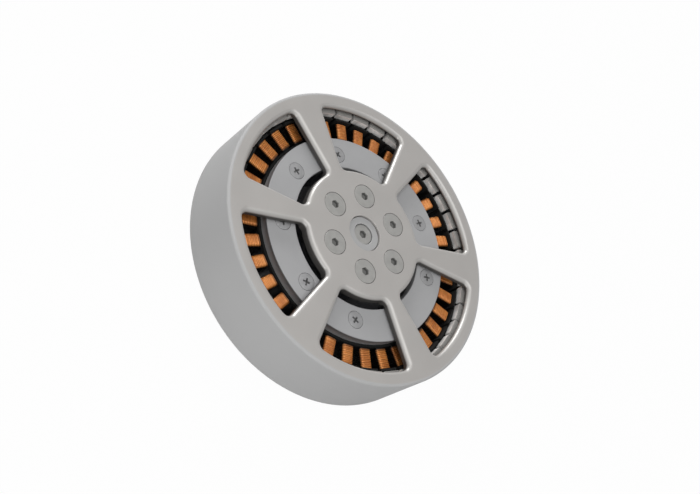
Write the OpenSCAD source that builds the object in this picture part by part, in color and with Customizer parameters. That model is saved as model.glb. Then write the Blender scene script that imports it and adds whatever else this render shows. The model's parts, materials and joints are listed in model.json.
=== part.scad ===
// Pancake outrunner motor for an underwater thruster. The bell turns about +Z with its
// magnets; the wound stator stands inside it on a base. Millimetres, +Z towards the front
// face, origin in the centre of the rear mounting face.

/* [Rotor bell] */
// Outer diameter of the bell
bell_d = 100; // [98:0.5:106]
// Height of the bell from its rear edge to the front face
bell_h = 22.8; // [22.6:0.1:25]
// Wall of the bell around the steel ring
bell_wall = 1.3; // [1:0.1:1.6]
// Thickness of the front face at its rim
face_t = 2; // [1.6:0.1:2.2]
// Thickness of the spokes
spoke_t = 2.6; // [2.3:0.1:2.8]
// Thickness of the hub in the middle of the front face
hub_t = 3.6; // [3.2:0.1:4]
// Rounding of the front outer edge
edge_r = 0.8; // [0.4:0.1:1.2]
// Height of the bell's rear edge over the mounting face
rear_gap = 1; // [0.8:0.1:1.4]

/* [Bell windows] */
// Number of windows in the front face
window_count = 6; // [4:1:8]
// Turn of the first window's middle from +X, in degrees
window_turn = 13.5; // [0:0.5:60]
// Angle that one spoke takes, in degrees
spoke_angle = 15.4; // [13:0.2:17]
// Radius of the windows' inner edge, as a share of the bell's radius
window_share = 0.444; // [0.436:0.002:0.452]
// Width of the rim outside the windows, as a share of the bell's radius
rim_share = 0.098; // [0.092:0.002:0.104]
// Corner radius of a window
window_corner_r = 2.2; // [1.6:0.1:2.6]
// Chamfer round a window's front edge
window_chamfer = 0.9; // [0.4:0.1:1]

/* [Magnets] */
// Number of magnets
magnet_count = 40; // [38:2:42]
// Turn of the first magnet from +X, in degrees
magnet_turn = 8.4; // [0:0.1:9]
// Radial thickness of a magnet
magnet_t = 2.5; // [2.2:0.1:2.6]
// Width of a magnet
magnet_w = 6; // [5.4:0.1:6.2]
// Height of the magnets' rear ends over the bell's rear edge
magnet_rise = 2.8; // [2.2:0.1:4.6]
// Drop of the magnets' front ends below the front face's underside
magnet_drop = 1; // [0.6:0.1:1.4]
// Thickness of the steel ring behind the magnets
flux_ring_t = 1.8; // [1.5:0.1:2]
// Air gap between the magnets and the stator
air_gap = 0.5; // [0.4:0.1:0.8]

/* [Stator] */
// Number of teeth and coils
slot_count = 36; // [30:3:36]
// Room between the base's web and the lamination stack
stack_room = 4; // [3.8:0.1:5]
// Width of a tooth
tooth_w = 1.8; // [1.6:0.1:2]
// Thickness of a tooth's shoe
shoe_t = 0.7; // [0.5:0.1:0.9]
// Opening between two shoes
slot_opening = 1.4; // [1.2:0.1:2]
// Outer radius of the yoke ring, as a share of the bell's radius
yoke_share = 0.704; // [0.688:0.002:0.708]
// Thickness of the plastic end frames over the teeth
arm_t = 0.8; // [0.6:0.1:0.9]
// Plastic on each side of a tooth
arm_side = 0.3; // [0.2:0.05:0.35]
// Radial rise of the end frames' rings over the yoke
collar_rise = 0.6; // [0.4:0.1:0.8]
// Height of the collar over the end frame
collar_h = 0.6; // [0.4:0.1:0.8]
// Height of the end frame's outer walls over the stack
wall_h = 2.8; // [2.6:0.1:3]
// Thickness of the end frame's outer walls
wall_t = 0.65; // [0.5:0.05:0.7]
// Thickness of the inner copper layers
copper_t = 0.46; // [0.4:0.02:0.6]
// Thickness of the square wire in the outer copper layer
wire_t = 0.48; // [0.4:0.02:0.48]
// Turns in the outer layer of one coil
coil_turns = 7; // [4:1:7]

/* [Stator plate] */
// Inner radius of the plate, as a share of the bell's radius
plate_in_share = 0.488; // [0.48:0.002:0.496]
// Outer radius of the plate, as a share of the bell's radius
plate_out_share = 0.7; // [0.69:0.002:0.706]
// Thickness of the plate
plate_t = 3; // [2.7:0.1:3.2]
// Depth of the plate's front below the front face
plate_depth = 3.2; // [3:0.1:3.4]
// Chamfer on the plate's edges
plate_chamfer = 0.3; // [0.1:0.1:0.5]
// Number of plate screws
plate_screw_count = 9; // [6:1:12]
// Radius of the circle of plate screws, as a share of the bell's radius
plate_screw_share = 0.58; // [0.576:0.002:0.584]
// Turn of the first plate screw from +X, in degrees
plate_screw_turn = 10.3; // [0:0.1:40]

/* [Base] */
// Outer radius of the drum that carries the stack, as a share of the bell's radius
drum_share = 0.63; // [0.624:0.002:0.636]
// Wall of the drum, as a share of the bell's radius
drum_wall_share = 0.122; // [0.112:0.002:0.128]
// Radius of the rear mounting pad, as a share of the bell's radius
pad_share = 0.66; // [0.652:0.002:0.68]
// Outer radius of the shoulder under the stack, as a share of the bell's radius
shoulder_share = 0.69; // [0.68:0.002:0.696]
// Thickness of the base's outer web
web_t = 2.2; // [1.8:0.1:2.4]
// Thickness of the base's inner web
floor_t = 3; // [2.6:0.1:3.4]
// Wall of the bearing tube
tube_wall = 3; // [2.4:0.1:3.2]
// Radial width of the slots, as a share of the web's width
vent_share = 0.6; // [0.44:0.02:0.64]
// Angle between the two end centres of a slot, in degrees
vent_angle = 34; // [20:1:38]
// Number of slots in the web
vent_count = 6; // [3:1:6]
// Number of tapped holes in the rear pad
rear_hole_count = 6; // [3:1:8]
// Radius of the circle of rear holes, as a share of the bell's radius
rear_hole_share = 0.56; // [0.556:0.002:0.576]
// Tapping drill diameter of a rear hole
rear_hole_d = 3.3; // [2.5:0.1:3.4]
// Depth of a rear hole
rear_hole_depth = 6.5; // [5:0.5:8]

/* [Bearings and shaft] */
// Outer diameter of the bearings
bearing_od = 26; // [25.8:0.1:26.4]
// Radial room of the bearings between bore and outside
bearing_room = 4.5; // [4.4:0.05:4.7]
// Width of one bearing
bearing_w = 5; // [4.6:0.1:5.2]
// Number of balls in one bearing
ball_count = 12; // [8:1:13]
// Diameter of a ball, as a share of the bearing's width
ball_share = 0.54; // [0.5:0.01:0.56]
// Radius of the shaft's flange, as a share of the bell's radius
flange_share = 0.368; // [0.36:0.002:0.376]
// Thickness of the shaft's flange
flange_t = 3.2; // [2.8:0.1:3.4]
// Height of the step between the flange and the front bearing
step_h = 1; // [0.8:0.1:1.2]
// Radial height of that step over the journal
step_rise = 1.2; // [0.8:0.1:1.3]
// Height of the lip under the rear bearing
lip_h = 1.2; // [1:0.1:1.4]
// Inward reach of that lip
lip_reach = 1.5; // [1.2:0.1:1.8]
// Height of the wave washer under the rear bearing
washer_h = 0.6; // [0.5:0.05:0.8]
// Bore of the hollow shaft's rear end
shaft_bore_d = 10; // [8:0.5:11]
// Depth of that bore
shaft_bore_depth = 9; // [6:0.5:10]

/* [Screws] */
// Number of hub screws
hub_screw_count = 6; // [5:1:7]
// Radius of the circle of hub screws, as a share of the bell's radius
hub_screw_share = 0.268; // [0.258:0.002:0.272]
// Turn of the first hub screw from +X, in degrees
hub_screw_turn = 13.3; // [0:0.1:60]
// Thread diameter of the hub screws and the centre screw
hub_screw_d = 4; // [3.5:0.1:4]
// Head diameter of a hub screw
hub_head_d = 8; // [7.5:0.1:8]
// Length of a hub screw with its head
hub_screw_l = 6.6; // [6:0.1:6.8]
// Width across the flats of the hub screws' sockets
hub_socket_w = 2.5; // [2:0.1:3]
// Thread diameter of the plate screws
plate_screw_d = 3; // [2.6:0.1:3]
// Head diameter of a plate screw
plate_head_d = 5.5; // [5:0.1:5.8]
// Length of a plate screw with its head
plate_screw_l = 8; // [6:0.5:9]
// Width of one arm of the cross recess
cross_w = 0.7; // [0.5:0.05:0.9]
// Span of the cross recess
cross_l = 2.6; // [2.4:0.1:3.2]
// Diameter of the centre disc in the hub
disc_d = 11.8; // [11.2:0.1:12.2]
// Drop of the centre disc below the front face
disc_drop = 0.7; // [0.4:0.1:0.8]
// Head diameter of the centre screw
centre_head_d = 6.8; // [6.4:0.1:7]
// Head height of the centre screw
centre_head_h = 1.6; // [1.4:0.1:1.8]
// Drop of the centre screw's head below the front face
centre_head_drop = 1.1; // [1:0.1:1.2]
// Length of the centre screw under its head
centre_screw_l = 7; // [5:0.5:8]

/* [Cable grommet] */
// Bore of the grommet, as a share of the web's width
grommet_bore_share = 0.562; // [0.45:0.002:0.58]
// Diameter of the hole that holds the grommet, as a share of the web's width
grommet_hole_share = 0.8; // [0.76:0.02:0.84]
// Diameter of the grommet's two lips, as a share of the web's width
grommet_lip_share = 0.96; // [0.94:0.01:0.98]
// Thickness of each lip
grommet_lip_t = 0.8; // [0.6:0.05:0.9]
// Turn of the grommet from +X, in degrees
grommet_turn = 270; // [210:60:330]

/* [Hidden] */
$fn = 96;

// Clearances and overruns
over = 0.5;            // how far a cut runs past the faces it opens
bond_gap = 0.05;       // adhesive line between bonded round faces
fit_gap = 0.02;        // radial gap of a press or thread fit
run_gap = 0.1;         // radial gap of shields and cages
hole_gap = 0.15;       // radial gap of a screw in its through hole
corner_lap = 0.01;     // how far a round corner or end runs past the sides that it joins
head_gap = 0.15;       // radial gap round a screw head
coil_gap = 0.1;        // gap between a coil and the wall outside it
coil_inner_gap = 0.3;  // gap between a coil and the collar inside it

// Heights, counted up from the rear mounting face
front_z = rear_gap + bell_h;
face_under_z = front_z - face_t;
hub_under_z = front_z - hub_t;
flange_under_z = hub_under_z - flange_t;
plate_top_z = front_z - plate_depth;
plate_under_z = plate_top_z - plate_t;
core_top_z = plate_under_z - collar_h - arm_t;
core_under_z = rear_gap + web_t + stack_room;
core_h = core_top_z - core_under_z;
frame_under_z = core_under_z - arm_t;
web_top_z = rear_gap + web_t;
front_bearing_z = flange_under_z - step_h - bearing_w;
rear_bearing_z = lip_h + washer_h;
tube_gap = 0.6;        // running gap between the bearing tube and the flange
tube_top_z = flange_under_z - tube_gap;

// Radii of the rotor
bell_r = bell_d / 2;
bell_bore_r = bell_r - bell_wall;
window_r = bell_r * window_share;
rim_w = bell_r * rim_share;
spoke_lap = 1.2;       // how far the hub and the thin rim run under the spokes' ends
boss_r = window_r + spoke_lap;
spoke_r = bell_r - rim_w - spoke_lap;
flange_r = bell_r * flange_share;
hub_screw_r = bell_r * hub_screw_share;
flux_r_out = bell_bore_r - bond_gap;
flux_r_in = flux_r_out - flux_ring_t;
magnet_back_r = sqrt(pow(flux_r_in - bond_gap, 2) - pow(magnet_w / 2, 2));
magnet_face_r = magnet_back_r - magnet_t;
magnet_top_z = face_under_z - magnet_drop;
magnet_h = magnet_top_z - rear_gap - magnet_rise;
flux_end_gap = 0.8;    // distance of the steel ring's rear end from the bell's edge

// Radii of the stator
stator_r = magnet_face_r - air_gap;
shoe_r = stator_r - shoe_t;
yoke_r = bell_r * yoke_share;
collar_r = yoke_r + collar_rise;
drum_r = bell_r * drum_share;
drum_wall = bell_r * drum_wall_share;
pad_r = bell_r * pad_share;
shoulder_r = bell_r * shoulder_share;
rear_hole_r = bell_r * rear_hole_share;
plate_r_in = bell_r * plate_in_share;
plate_r_out = bell_r * plate_out_share;
plate_screw_r = bell_r * plate_screw_share;
core_bore_r = drum_r + bond_gap;
wall_r_out = stator_r - bond_gap;
wall_r_in = wall_r_out - wall_t;
arm_half = tooth_w / 2 + arm_side;
core_half = arm_half + fit_gap + copper_t;
coil_r_in = collar_r + coil_inner_gap;
coil_r_out = wall_r_in - coil_gap;
base_edge_gap = 0.8;   // gap between the base's edge and the magnets
base_r = magnet_face_r - base_edge_gap;
web_w = base_r - shoulder_r;
vent_w = web_w * vent_share;
grommet_hole_d = web_w * grommet_hole_share;
grommet_lip_d = web_w * grommet_lip_share;
grommet_bore_d = web_w * grommet_bore_share;

// Radii of the bearings
bearing_r_out = bearing_od / 2;
bearing_r_in = bearing_r_out - bearing_room;
ball_ring_r = (bearing_r_in + bearing_r_out) / 2;
ball_d = bearing_w * ball_share;
ball_r = ball_d / 2;
race_step_share = 0.55;   // share of the ball radius left open between the races
inner_land_r = ball_ring_r - ball_r * race_step_share;
outer_land_r = ball_ring_r + ball_r * race_step_share;
race_edge = 0.3;       // chamfer on the races' outer corners
shield_t = 0.3;
shield_inset = 0.15;   // depth of a shield below the bearing's face
cage_wall = 0.7;       // radial thickness of a ball cage
cage_end_gap = 0.25;   // gap between a ball cage and a shield
cage_w = bearing_w - 2 * (shield_inset + shield_t + cage_end_gap);
cage_gap = 0.08;       // gap between a ball and its pocket
tube_r = bearing_r_out + tube_wall;
journal_r = bearing_r_in - fit_gap;
lip_r = bearing_r_out - lip_reach;

// Retaining ring on the shaft's rear end
ring_t = 0.8;
ring_gap = 0.1;        // play between the ring and the rear inner race
ring_groove_depth = 0.5;
ring_rise = 1.5;       // height of the ring over the journal
ring_open_angle = 30;
ring_ear_r = 1;
ring_ear_hole_r = 0.5;
groove_top_z = rear_bearing_z - ring_gap;
shaft_end_z = 0.4;

// Wave washer
washer_waves = 3;
washer_steps = 36;
washer_strip_t = 0.2;
washer_r_in = lip_r + run_gap;
washer_r_out = bearing_r_out - run_gap;

// Screws
socket_depth_share = 0.55;  // depth of a socket as a share of its width
hex_sides = 6;
head_land = 0.25;           // straight edge of a countersunk head
thread_relief = 1;          // depth of a tapped hole past its screw
cross_depth = 1.3;
cross_turn_step = 25;       // turn between one screw's cross and the next
core_corner_r = 0.3;        // rounding of the inner copper layers
disc_chamfer = 0.3;

// A ring of rectangular section
module ring(r_out, r_in, h) {
    difference() {
        cylinder(h = h, r = r_out);
        translate([0, 0, -over]) cylinder(h = h + 2 * over, r = r_in);
    }
}

// A ring with chamfers of size c on its outer corners
module edged_ring(r_out, r_in, h, c) {
    rotate_extrude()
        polygon([[r_in, 0], [r_out - c, 0], [r_out, c], [r_out, h - c], [r_out - c, h], [r_in, h]]);
}

// Copies spread evenly on a circle
module around(count, radius, turn) {
    for (i = [0 : count - 1])
        rotate([0, 0, turn + i * 360 / count]) translate([radius, 0, 0]) children();
}

// A flat sector of a ring, to both sides of +X
module ring_sector(r_out, r_in, half) {
    reach = 2 * r_out;
    intersection() {
        difference() {
            circle(r = r_out);
            circle(r = r_in);
        }
        polygon([[0, 0], [reach * cos(half), -reach * sin(half)], [reach * cos(half), reach * sin(half)]]);
    }
}

// One window's cut: a ring sector with radial sides and round corners, whose walls lean
// outwards by grow over the height h
module window_cut(r_out, r_in, half, c, h, grow) {
    inner_turn = half - asin(c / (r_in + c));
    outer_turn = half - asin(c / (r_out - c));
    side_from = sqrt(pow(r_in + c, 2) - c * c);
    side_to = sqrt(pow(r_out - c, 2) - c * c);
    mid_r = (r_out + r_in) / 2;
    rotate([0, 0, -inner_turn]) rotate_extrude(angle = 2 * inner_turn)
        polygon([[r_in, 0], [mid_r, 0], [mid_r, h], [r_in - grow, h]]);
    rotate([0, 0, -outer_turn]) rotate_extrude(angle = 2 * outer_turn)
        polygon([[mid_r, 0], [r_out, 0], [r_out + grow, h], [mid_r, h]]);
    for (s = [-1, 1]) {
        rotate([0, 0, s * inner_turn]) translate([r_in + c, 0, 0])
            cylinder(h = h, r1 = c + corner_lap, r2 = c + corner_lap + grow);
        rotate([0, 0, s * outer_turn]) translate([r_out - c, 0, 0])
            cylinder(h = h, r1 = c + corner_lap, r2 = c + corner_lap + grow);
        rotate([0, 0, s * half]) translate([side_from, -s * c, 0]) rotate([90, 0, 90])
            linear_extrude(height = side_to - side_from)
                polygon([[-c, 0], [c, 0], [c + grow, h], [-c - grow, h]]);
    }
}

// Countersunk head and shank, front face at z = 0 and pointing down
module flat_head(head_r, shank_r, length, land) {
    translate([0, 0, -land]) cylinder(h = land, r = head_r);
    translate([0, 0, -land - (head_r - shank_r)]) cylinder(h = head_r - shank_r, r1 = shank_r, r2 = head_r);
    translate([0, 0, -length]) cylinder(h = length - land, r = shank_r);
}

// Hole for a countersunk screw, open at z = 0
module flat_head_hole(head_r, shank_r, length, land) {
    flat_head(head_r, shank_r, length, land);
    translate([0, 0, -land]) cylinder(h = land + over, r = head_r);
}

// Hexagon socket, open at z = 0
module hex_socket(width) {
    depth = width * socket_depth_share;
    translate([0, 0, -depth])
        cylinder(h = depth + over, r = width / 2 / cos(180 / hex_sides), $fn = hex_sides);
}

// Cross recess, open at z = 0
module cross_recess() {
    for (a = [0, 90])
        rotate([0, 0, a]) translate([-cross_l / 2, -cross_w / 2, -cross_depth])
            cube([cross_l, cross_w, cross_depth + over]);
}

// Turned bell: side wall, front face and thick hub
module bell_blank() {
    rotate_extrude() {
        translate([0, face_under_z]) square([bell_r - edge_r, face_t]);
        translate([bell_bore_r, rear_gap]) square([bell_wall, bell_h - edge_r]);
        translate([bell_r - edge_r, front_z - edge_r]) circle(r = edge_r);
        translate([0, front_z - spoke_t]) square([spoke_r, spoke_t]);
        translate([0, hub_under_z]) square([boss_r, hub_t]);
    }
}

module rotor_bell() {
    window_half = 180 / window_count - spoke_angle / 2;
    color([0.67, 0.66, 0.65]) difference() {
        bell_blank();
        around(window_count, 0, window_turn) {
            translate([0, 0, hub_under_z - over])
                window_cut(bell_r - rim_w, window_r, window_half, window_corner_r, hub_t + 2 * over, 0);
            translate([0, 0, front_z - window_chamfer])
                window_cut(bell_r - rim_w, window_r, window_half, window_corner_r,
                           2 * window_chamfer, 2 * window_chamfer);
        }
        around(hub_screw_count, hub_screw_r, hub_screw_turn)
            translate([0, 0, front_z])
                flat_head_hole(hub_head_d / 2 + head_gap, hub_screw_d / 2 + hole_gap,
                               hub_t + over, head_land);
        translate([0, 0, hub_under_z - over]) cylinder(h = hub_t + 2 * over, r = disc_d / 2 + head_gap);
    }
}

module flux_ring() {
    color([0.36, 0.36, 0.38]) translate([0, 0, rear_gap + flux_end_gap])
        ring(flux_r_out, flux_r_in, face_under_z - rear_gap - flux_end_gap);
}

module rotor_magnets() {
    color([0.5, 0.51, 0.53])
        around(magnet_count, magnet_face_r, magnet_turn)
            translate([0, -magnet_w / 2, magnet_top_z - magnet_h]) cube([magnet_t, magnet_w, magnet_h]);
}

// Flanged hollow shaft, turned from the front
module rotor_shaft() {
    color([0.42, 0.42, 0.44]) difference() {
        union() {
            translate([0, 0, flange_under_z]) cylinder(h = flange_t, r = flange_r);
            translate([0, 0, flange_under_z - step_h]) cylinder(h = step_h, r = journal_r + step_rise);
            translate([0, 0, shaft_end_z]) cylinder(h = flange_under_z - shaft_end_z, r = journal_r);
        }
        translate([0, 0, groove_top_z - ring_t])
            ring(journal_r + over, journal_r - ring_groove_depth, ring_t);
        translate([0, 0, shaft_end_z - over]) cylinder(h = shaft_bore_depth + over, r = shaft_bore_d / 2);
        around(hub_screw_count, hub_screw_r, hub_screw_turn)
            translate([0, 0, flange_under_z - over])
                cylinder(h = flange_t + 2 * over, r = hub_screw_d / 2 + fit_gap);
        translate([0, 0, centre_seat_z() - centre_screw_l - thread_relief])
            cylinder(h = centre_screw_l + hub_t, r = hub_screw_d / 2 + fit_gap);
    }
}

// Height of the face under the centre screw's head
function centre_seat_z() = front_z - centre_head_drop - centre_head_h;

module hub_screws() {
    color([0.6, 0.6, 0.59]) around(hub_screw_count, hub_screw_r, hub_screw_turn)
        translate([0, 0, front_z]) difference() {
            flat_head(hub_head_d / 2, hub_screw_d / 2, hub_screw_l, head_land);
            hex_socket(hub_socket_w);
        }
}

// Disc that centres the hub, with a seat for the centre screw
module centre_disc() {
    color([0.66, 0.66, 0.67]) difference() {
        translate([0, 0, hub_under_z])
            edged_ring(disc_d / 2, hub_screw_d / 2 + hole_gap, hub_t - disc_drop, disc_chamfer);
        translate([0, 0, centre_seat_z()]) cylinder(h = hub_t, r = centre_head_d / 2 + head_gap);
    }
}

module centre_screw() {
    color([0.6, 0.6, 0.61]) translate([0, 0, centre_seat_z()]) difference() {
        union() {
            cylinder(h = centre_head_h, r = centre_head_d / 2);
            translate([0, 0, -centre_screw_l]) cylinder(h = centre_screw_l + centre_head_h / 2, r = hub_screw_d / 2);
        }
        translate([0, 0, centre_head_h]) hex_socket(hub_socket_w);
    }
}

module shaft_spacer() {
    color([0.55, 0.55, 0.57]) translate([0, 0, rear_bearing_z + bearing_w])
        ring(inner_land_r - race_edge, bearing_r_in, front_bearing_z - rear_bearing_z - bearing_w);
}

// Open spring ring with two ears, in the groove at the shaft's rear end
module retaining_ring() {
    inner_r = journal_r - ring_groove_depth + fit_gap;
    outer_r = journal_r + ring_rise;
    ear_turn = ring_open_angle / 2;
    ear_r = outer_r - ring_ear_r / 2;
    color([0.3, 0.3, 0.32]) translate([0, 0, groove_top_z - ring_t]) difference() {
        union() {
            rotate([0, 0, ear_turn]) rotate_extrude(angle = 360 - ring_open_angle)
                translate([inner_r, 0]) square([outer_r - inner_r, ring_t]);
            for (s = [-1, 1]) rotate([0, 0, s * ear_turn]) translate([ear_r, 0, 0]) cylinder(h = ring_t, r = ring_ear_r);
        }
        for (s = [-1, 1]) rotate([0, 0, s * ear_turn]) translate([ear_r, 0, -over])
            cylinder(h = ring_t + 2 * over, r = ring_ear_hole_r);
    }
}

// Section of the ball groove, cut in both races
module ball_groove() {
    translate([ball_ring_r, bearing_w / 2]) circle(r = ball_r + fit_gap);
}

module inner_race(z) {
    color([0.72, 0.72, 0.74]) translate([0, 0, z]) rotate_extrude() difference() {
        polygon([[bearing_r_in, race_edge], [bearing_r_in + race_edge, 0], [inner_land_r, 0],
                 [inner_land_r, bearing_w], [bearing_r_in + race_edge, bearing_w],
                 [bearing_r_in, bearing_w - race_edge]]);
        ball_groove();
    }
}

module outer_race(z) {
    r_out = bearing_r_out - fit_gap;
    color([0.72, 0.72, 0.74]) translate([0, 0, z]) rotate_extrude() difference() {
        polygon([[outer_land_r, 0], [r_out - race_edge, 0], [r_out, race_edge],
                 [r_out, bearing_w - race_edge], [r_out - race_edge, bearing_w],
                 [outer_land_r, bearing_w]]);
        ball_groove();
    }
}

module balls(z) {
    color([0.82, 0.82, 0.84]) around(ball_count, ball_ring_r, 0)
        translate([0, 0, z + bearing_w / 2]) sphere(r = ball_r);
}

// Plain cage ring with a pocket round each ball
module cage(z) {
    color([0.72, 0.6, 0.35]) difference() {
        translate([0, 0, z + (bearing_w - cage_w) / 2])
            ring(ball_ring_r + cage_wall / 2, ball_ring_r - cage_wall / 2, cage_w);
        around(ball_count, ball_ring_r, 0)
            translate([-cage_wall, 0, z + bearing_w / 2]) rotate([0, 90, 0])
                cylinder(h = 2 * cage_wall, r = ball_r + cage_gap);
    }
}

module shields(z) {
    color([0.5, 0.5, 0.52])
        for (h = [shield_inset, bearing_w - shield_inset - shield_t])
            translate([0, 0, z + h]) ring(outer_land_r, inner_land_r + run_gap, shield_t);
}

module front_inner_race() { inner_race(front_bearing_z); }
module rear_inner_race() { inner_race(rear_bearing_z); }
module front_outer_race() { outer_race(front_bearing_z); }
module rear_outer_race() { outer_race(rear_bearing_z); }
module front_balls() { balls(front_bearing_z); }
module rear_balls() { balls(rear_bearing_z); }
module front_cage() { cage(front_bearing_z); }
module rear_cage() { cage(rear_bearing_z); }
module front_shields() { shields(front_bearing_z); }
module rear_shields() { shields(rear_bearing_z); }

module race_spacer() {
    color([0.62, 0.62, 0.64]) translate([0, 0, rear_bearing_z + bearing_w])
        ring(bearing_r_out - fit_gap, outer_land_r + race_edge, front_bearing_z - rear_bearing_z - bearing_w);
}

// Springy washer: a thin strip whose height follows a wave round the circle
function washer_height(a) = lip_h + washer_strip_t / 2
    + (washer_h - washer_strip_t) * (1 - cos(washer_waves * a)) / 2;
function washer_section(a) = [
    for (p = [[washer_r_in, -1], [washer_r_out, -1], [washer_r_out, 1], [washer_r_in, 1]])
        [p[0] * cos(a), p[0] * sin(a), washer_height(a) + p[1] * washer_strip_t / 2]
];

module wave_washer() {
    sections = [for (i = [0 : washer_steps - 1]) washer_section(i * 360 / washer_steps)];
    color([0.45, 0.45, 0.48]) polyhedron(
        points = [for (s = sections) for (p = s) p],
        faces = [for (i = [0 : washer_steps - 1]) for (k = [0 : 3]) for (t = side_pair(i, k, washer_steps)) t]);
}

// Two triangles that join edge k of section i to the next section of a closed or open sweep of 4 sides
function side_pair(i, k, count) =
    let (j = (i + 1) % count, n = (k + 1) % 4)
    [[4 * i + k, 4 * j + k, 4 * j + n], [4 * i + k, 4 * j + n, 4 * i + n]];

// Base: rear pad, webs, bearing tube and the drum that carries the stack
module base_blank() {
    rotate_extrude() {
        translate([lip_r, 0]) square([tube_r - lip_r, lip_h]);
        translate([bearing_r_out, 0]) square([tube_wall, tube_top_z]);
        translate([bearing_r_out, 0]) square([pad_r - bearing_r_out, floor_t]);
        translate([drum_r - drum_wall, 0]) square([drum_wall, plate_under_z]);
        translate([drum_r - drum_wall, rear_gap]) square([base_r - drum_r + drum_wall, web_t]);
        translate([drum_r - drum_wall, rear_gap]) square([shoulder_r - drum_r + drum_wall, frame_under_z - rear_gap]);
    }
}

// Curved slot with round ends through the outer web
module vent() {
    r_mid = (base_r + shoulder_r) / 2;
    translate([0, 0, -over]) linear_extrude(height = web_top_z + 2 * over) {
        ring_sector(r_mid + vent_w / 2, r_mid - vent_w / 2, vent_angle / 2);
        for (s = [-1, 1]) rotate([0, 0, s * vent_angle / 2]) translate([r_mid, 0]) circle(r = vent_w / 2 + corner_lap);
    }
}

module stator_base() {
    color([0.35, 0.35, 0.37]) difference() {
        base_blank();
        around(vent_count, 0, 0) vent();
        around(rear_hole_count, rear_hole_r, 180 / rear_hole_count)
            translate([0, 0, -over]) cylinder(h = rear_hole_depth + over, r = rear_hole_d / 2);
        around(plate_screw_count, plate_screw_r, plate_screw_turn)
            translate([0, 0, plate_top_z - plate_screw_l - thread_relief])
                cylinder(h = plate_screw_l + thread_relief, r = plate_screw_d / 2 + fit_gap);
        at_grommet() translate([0, 0, -over]) cylinder(h = web_top_z + 2 * over, r = grommet_hole_d / 2);
    }
}

// Place of the grommet, on the web between two slots
module at_grommet() {
    rotate([0, 0, grommet_turn]) translate([(base_r + shoulder_r) / 2, 0, 0]) children();
}

module stator_core() {
    color([0.12, 0.12, 0.13]) translate([0, 0, core_under_z]) linear_extrude(height = core_h) {
        difference() {
            circle(r = stator_r);
            circle(r = shoe_r);
            for (i = [0 : slot_count - 1])
                rotate([0, 0, (i + 1 / 2) * 360 / slot_count])
                    translate([shoe_r - shoe_t, -slot_opening / 2]) square([3 * shoe_t, slot_opening]);
        }
        difference() {
            circle(r = yoke_r);
            circle(r = core_bore_r);
        }
        around(slot_count, 0, 0)
            translate([yoke_r - shoe_t, -tooth_w / 2]) square([shoe_r + shoe_t / 2 - yoke_r + shoe_t, tooth_w]);
    }
}

// Moulded end frame over one end of the stack: ring, arms over the teeth and outer walls
module end_frame(r_ring, ring_h) {
    linear_extrude(height = ring_h) difference() {
        circle(r = r_ring);
        circle(r = core_bore_r);
    }
    linear_extrude(height = arm_t) around(slot_count, 0, 0)
        translate([yoke_r - arm_half, -arm_half]) square([wall_r_in + wall_t / 2 - yoke_r + arm_half, 2 * arm_half]);
    linear_extrude(height = wall_h) difference() {
        circle(r = wall_r_out);
        circle(r = wall_r_in);
        for (i = [0 : slot_count - 1])
            rotate([0, 0, (i + 1 / 2) * 360 / slot_count])
                translate([wall_r_in - wall_t, -slot_opening / 2]) square([3 * wall_t, slot_opening]);
    }
}

module front_end_frame() {
    color([0.09, 0.09, 0.1]) translate([0, 0, core_top_z]) end_frame(collar_r, arm_t + collar_h);
}

module rear_end_frame() {
    color([0.09, 0.09, 0.1]) translate([0, 0, core_under_z]) mirror([0, 0, 1]) end_frame(collar_r, arm_t);
}

// Inner layers of one coil: a block of copper round the tooth and its two arms
module coil_core() {
    length = coil_r_out - coil_r_in;
    bore = arm_half + fit_gap;
    low = frame_under_z - copper_t;
    high = core_top_z + arm_t + copper_t;
    corner = core_half - core_corner_r;
    translate([coil_r_in, 0, 0]) rotate([90, 0, 90]) linear_extrude(height = length) difference() {
        union() {
            translate([-core_half, low + core_corner_r]) square([2 * core_half, high - low - 2 * core_corner_r]);
            translate([-corner, low]) square([2 * corner, high - low]);
            for (x = [-corner, corner]) for (y = [low + core_corner_r, high - core_corner_r])
                translate([x, y]) circle(r = core_corner_r);
        }
        translate([-bore, frame_under_z]) square([2 * bore, core_top_z + arm_t - frame_under_z]);
    }
}

module coil_cores() {
    color([0.7, 0.42, 0.22]) around(slot_count, 0, 0) coil_core();
}

// Outer layer of one coil: a square wire wound round the inner layers, one corner after another
wind_half = core_half + fit_gap + wire_t / 2;
wind_low = frame_under_z - copper_t - fit_gap - wire_t / 2;
wind_high = core_top_z + arm_t + copper_t + fit_gap + wire_t / 2;
wind_from = coil_r_in + wire_t / 2;
wind_pitch = (coil_r_out - coil_r_in - wire_t) / coil_turns;
wind_corners = [[1, 0], [1, 1], [-1, 1], [-1, 0]];

// Centre of the wire at corner k. It climbs along three sides and not along the rear one
function wind_point(k) =
    let (c = wind_corners[k % 4])
    [wind_from + (floor(k / 4) + (k % 4) / 3) * wind_pitch, c[0] * wind_half, c[1] == 1 ? wind_high : wind_low];
wind_last = 4 * coil_turns - 1;
wind_start = [wind_point(0)[0], 0, wind_low];
wind_end = [wind_point(wind_last)[0], 0, wind_low];
wind_path = concat([wind_start], [for (k = [0 : wind_last]) wind_point(k)], [wind_end]);

// Section of the wire at a point of the path, mitred at the corners
function wire_section(p) =
    let (sy = sign(p[1]), sz = p[2] > (wind_low + wind_high) / 2 ? 1 : -1, h = wire_t / 2)
    [for (s = [[-1, 1], [1, 1], [1, -1], [-1, -1]])
        [p[0] + s[0] * h, p[1] + sy * s[1] * h, p[2] + sz * s[1] * h]];

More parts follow.
